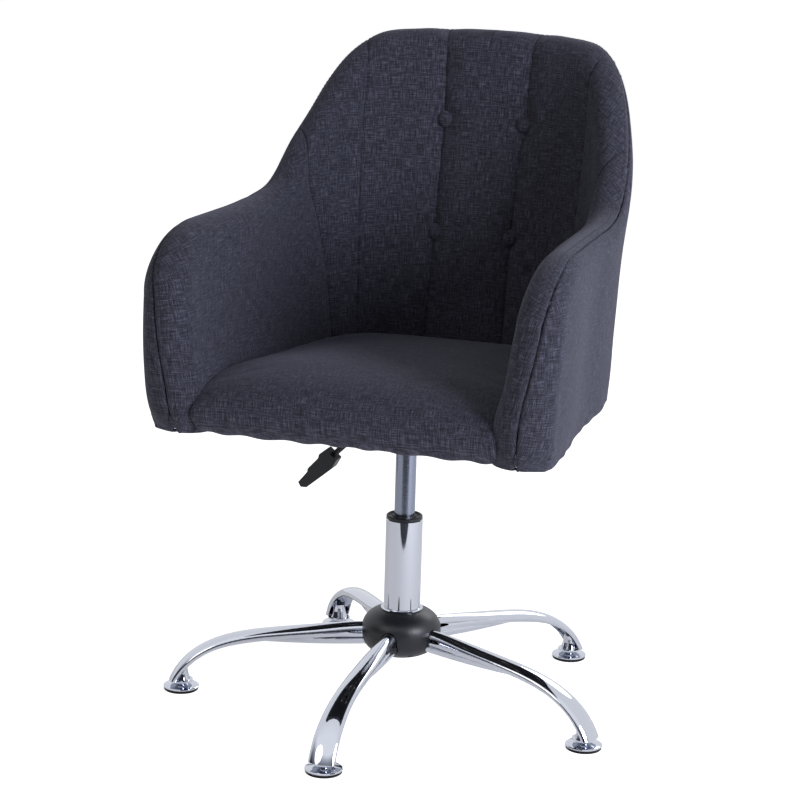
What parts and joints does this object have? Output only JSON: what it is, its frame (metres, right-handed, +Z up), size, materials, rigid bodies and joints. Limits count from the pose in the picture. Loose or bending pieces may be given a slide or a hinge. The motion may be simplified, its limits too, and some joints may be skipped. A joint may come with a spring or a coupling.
{
  "type": "swivel tub chair",
  "caption": "Upholstered tub chair with rolled arms and a button-tufted back on a swivel gas lift, with a chromed star base on fixed glides.",
  "frame": {"origin": "on the floor, on the swivel axis", "axes": "+Z up along the swivel axis, the chair faces -Y, +X to the sitter's left"},
  "size_m": [0.6194, 0.7096, 0.88],
  "materials": {
    "chrome": "polished chromium plating on steel",
    "ground_steel": "ground and drawn steel, satin",
    "zinc_steel": "zinc plated steel",
    "black_paint": "black powder coat",
    "black_plastic": "moulded nylon, semi matt",
    "rubber": "black rubber",
    "plywood": "raw plywood",
    "dust_cloth": "black non-woven sheet",
    "woven_fabric": "charcoal woven polyester with slubs",
    "twine": "waxed polyester twine"
  },
  "bodies": {
    "base": {"hub_sleeve": "zinc_steel", "leg_1": "chrome", "leg_2": "chrome", "leg_3": "chrome", "leg_4": "chrome", "leg_5": "chrome", "hub_cover_upper": "black_plastic", "hub_cover_lower": "black_plastic", "hub_cover_screws": "zinc_steel", "column_collar": "chrome", "column_tube": "chrome", "guide_bush": "black_plastic", "bearing_lower_washer": "ground_steel", "foot_sockets": "chrome", "glide_stems": "zinc_steel", "glide_discs": "chrome", "glide_pads": "rubber"},
    "rod": {"piston_rod": "ground_steel", "piston": "ground_steel", "piston_seal": "rubber", "bearing_balls": "ground_steel", "bearing_cage": "black_plastic", "bearing_upper_washer": "ground_steel", "bump_stop": "rubber", "rod_washer": "ground_steel", "rod_clip": "ground_steel"},
    "seat": {"pressure_tube": "ground_steel", "rod_guide": "ground_steel", "rod_seal": "rubber", "valve_body": "ground_steel", "swivel_plate": "black_paint", "lever_housing": "black_paint", "taper_socket": "black_paint", "lever_bush": "black_plastic", "plate_bolts": "zinc_steel", "plate_washers": "zinc_steel", "tee_nuts": "zinc_steel", "seat_board": "plywood", "side_board_left": "plywood", "side_board_right": "plywood", "side_screws": "zinc_steel", "back_board": "plywood", "dust_cover": "dust_cloth", "seat_cushion": "woven_fabric", "arm_pad_left": "woven_fabric", "arm_pad_right": "woven_fabric", "back_pad": "woven_fabric", "outer_arm_cover_left": "woven_fabric", "outer_arm_cover_right": "woven_fabric", "outer_back_cover": "woven_fabric", "back_buttons": "woven_fabric", "button_ties": "twine"},
    "lever": {"lever_rod": "black_paint", "lever_paddle": "black_plastic"},
    "valve": {"valve_pin": "ground_steel"}
  },
  "joints": [
    {"name": "seat_swivel", "type": "hinge", "parent": "base", "child": "rod", "pos_m": [0, 0, 0.1], "axis": [0, 0, 1], "continuous": true},
    {"name": "seat_height", "type": "slide", "parent": "rod", "child": "seat", "axis": [0, 0, 1], "range_m": [-0.075, 0]},
    {"name": "lift_lever", "type": "hinge", "parent": "seat", "child": "lever", "pos_m": [-0.03125, 0, 0.393], "axis": [0, 1, 0], "range_deg": [0, 5.5], "stiffness_Nm_per_rad": 1.5, "springref_deg": -5.73},
    {"name": "valve_press", "type": "slide", "parent": "seat", "child": "valve", "axis": [0, 0, -1], "range_m": [0, 0.0031]}
  ],
  "couplings": [
    {"joint": "valve_press", "follows": "lift_lever", "m_per_rad": 0.03125}
  ]
}
